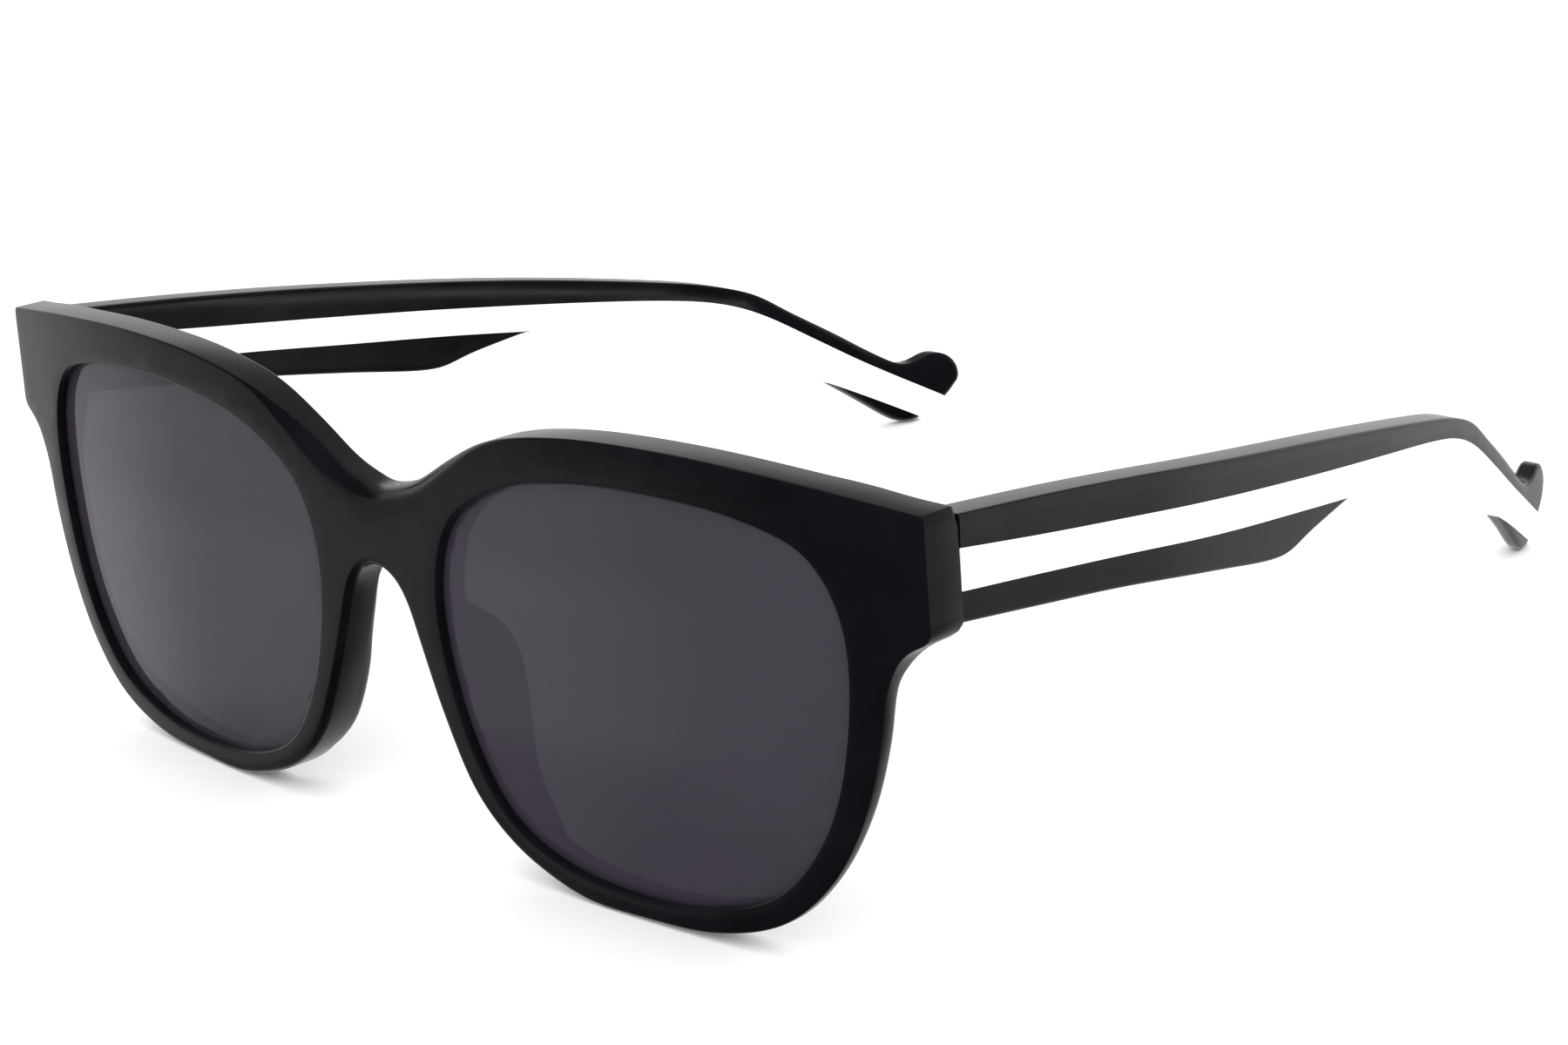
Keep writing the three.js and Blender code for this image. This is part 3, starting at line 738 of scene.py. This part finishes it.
def black_acetate():
    material, shader = new_material("black_acetate", (0.0045, 0.0045, 0.0055), 0.14, IOR=1.5)
    dark, light = (0.0022, 0.0022, 0.0032), (0.0046, 0.0046, 0.0064)
    tint(material, shader, add_noise(material, 90, 3), dark, light)
    vary_roughness(material, shader, add_noise(material, 45, 4), 0.1, 0.19)
    add_bump(material, shader, add_noise(material, 140, 3), 0.06, 0.0002)
    return material


def white_acetate():
    # The emission is a painted glow. It lifts the shaded undersides of the white layers to the same white as
    # their lit faces.
    material, shader = new_material("white_acetate", (0.9, 0.9, 0.89), 0.2, IOR=1.5, Emission_Strength=0.15)
    tint(material, shader, add_noise(material, 70, 4), (0.88, 0.88, 0.87), (0.93, 0.93, 0.92))
    vary_roughness(material, shader, add_noise(material, 45, 4), 0.16, 0.26)
    return material


def smoke_lens():
    material, shader = new_material("smoke_lens", (0.033, 0.0275, 0.0385), 0.02, IOR=1.6, Alpha=0.88)
    dark, light = (0.032, 0.0268, 0.0372), (0.034, 0.0283, 0.0398)
    tint(material, shader, add_noise(material, 30, 2), dark, light)
    vary_roughness(material, shader, add_noise(material, 60, 3), 0.01, 0.035)
    return material


def brushed_steel(name, colour):
    material, shader = new_material(name, colour, 0.3, Metallic=1)
    vary_roughness(material, shader, add_noise(material, 900, 2, (1, 1, 0.08)), 0.22, 0.42)
    return material


MATERIALS = {
    "black_acetate": black_acetate(),
    "white_acetate": white_acetate(),
    "smoke_lens": smoke_lens(),
    "hinge_steel": brushed_steel("hinge_steel", (0.6, 0.61, 0.62)),
    "core_wire": brushed_steel("core_wire", (0.55, 0.56, 0.58)),
}


def dress(piece, body, slot, node=None):
    """Gives a piece the material that slot names and its body, and hides the CAD node that it stands for.

    A piece that is a CAD node itself already rides on its body."""
    piece.data.materials.clear()
    piece.data.materials.append(MATERIALS[slot])
    if "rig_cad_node" not in piece:
        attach(piece, body)
    if node:
        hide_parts(node)


def soften(node):
    """Breaks the sharp edges of a machined CAD node and shades its round faces smoothly."""
    weld = node.modifiers.new("weld", "WELD")
    weld.merge_threshold = WELD_GAP
    bevel = node.modifiers.new("broken_edges", "BEVEL")
    bevel.width = BROKEN_EDGE
    bevel.segments = 2
    bevel.limit_method = "ANGLE"
    bevel.angle_limit = math.radians(BROKEN_ANGLE)
    bevel.harden_normals = True
    node.data.shade_smooth()


# ---------------------------------------------------------------- stage and light

FLOOR_HALF = 6  # half its side, in m, like its drop below the part
FLOOR_DROP = 0.0001
ROOM_LIGHT = 1.65
SIDEWAYS = (0.6, -0.8, 0)  # the direction that the side grades run along
# What gloss sees is a sum of grades. Each says between which sides or heights it runs,
# from -1 to 1, and how much light it gives before and after them.
SIDE_GRADES = [(-0.42, -0.1, 1.0, 0.42), (0.02, 0.42, 0, -0.4)]
HEIGHT_GRADES = [(0.24, 0.5, 0, -0.62), (-0.355, -0.325, -0.22, 0), (-0.26, -0.235, 0, -0.12)]
LEAST_LIGHT = 0.02


def add_floor():
    mesh = bpy.data.meshes.new("floor")
    bm = bmesh.new()
    bmesh.ops.create_grid(bm, x_segments=4, y_segments=4, size=FLOOR_HALF)
    bm.to_mesh(mesh)
    bm.free()
    floor = bpy.data.objects.new("floor", mesh)
    bpy.context.scene.collection.objects.link(floor)
    material, _ = new_material("floor", (0.95, 0.95, 0.95), 0.9)
    mesh.materials.append(material)
    floor.location.z = -FLOOR_DROP
    floor.visible_glossy = False


def add_world():
    """White all round. Gloss picks up a studio that is darker on one side, low down and overhead."""
    world = bpy.data.worlds.new("studio")
    bpy.context.scene.world = world
    world.use_nodes = True
    nodes, links = world.node_tree.nodes, world.node_tree.links

    def spread(source, grade):
        node = nodes.new("ShaderNodeMapRange")
        node.interpolation_type = "SMOOTHSTEP"
        set_range(node, *grade)
        links.new(source, node.inputs["Value"])
        return node.outputs["Result"]

    def add(a, b):
        node = nodes.new("ShaderNodeMath")
        links.new(a, node.inputs[0])
        links.new(b, node.inputs[1])
        return node.outputs["Value"]

    plain = nodes["Background"]
    plain.inputs["Color"].default_value = (1, 1, 1, 1)
    plain.inputs["Strength"].default_value = ROOM_LIGHT
    place = nodes.new("ShaderNodeTexCoord")
    dot = nodes.new("ShaderNodeVectorMath")
    dot.operation = "DOT_PRODUCT"
    dot.inputs[1].default_value = SIDEWAYS
    links.new(place.outputs["Generated"], dot.inputs[0])
    split = nodes.new("ShaderNodeSeparateXYZ")
    links.new(place.outputs["Generated"], split.inputs["Vector"])
    side, height = dot.outputs["Value"], split.outputs["Z"]
    levels = [spread(side, grade) for grade in SIDE_GRADES]
    levels += [spread(height, grade) for grade in HEIGHT_GRADES]
    light = levels[0]
    for level in levels[1:]:
        light = add(light, level)
    graded = nodes.new("ShaderNodeBackground")
    least = nodes.new("ShaderNodeMath")
    least.operation = "MAXIMUM"
    least.inputs[1].default_value = LEAST_LIGHT
    links.new(light, least.inputs[0])
    links.new(least.outputs["Value"], graded.inputs["Strength"])
    path = nodes.new("ShaderNodeLightPath")
    mix = nodes.new("ShaderNodeMixShader")
    links.new(path.outputs["Is Glossy Ray"], mix.inputs["Fac"])
    links.new(plain.outputs["Background"], mix.inputs[1])
    links.new(graded.outputs["Background"], mix.inputs[2])
    links.new(mix.outputs["Shader"], nodes["World Output"].inputs["Surface"])


# ---------------------------------------------------------------- assembly

add_camera()
add_floor()
add_world()
bpy.context.scene.view_settings.view_transform = "Standard"

dress(build_front(), "front", "black_acetate", "front_frame")
for name, side in SIDES.items():
    temple = f"{name}_temple"
    dress(build_lens(name, side), "front", "smoke_lens", f"{name}_lens")
    dress(build_nose_pad(name, side), "front", "black_acetate", f"{name}_nose_pad")
    for layer, piece in build_temple(name, side).items():
        finish = "white_acetate" if layer == "middle_layer" else "black_acetate"
        dress(piece, temple, finish, f"{temple}_{layer}")

for node in frame["nodes"].values():
    if not node.hide_render:
        soften(node)
        dress(node, node["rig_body"], "core_wire" if "wire" in node.name else "hinge_steel")
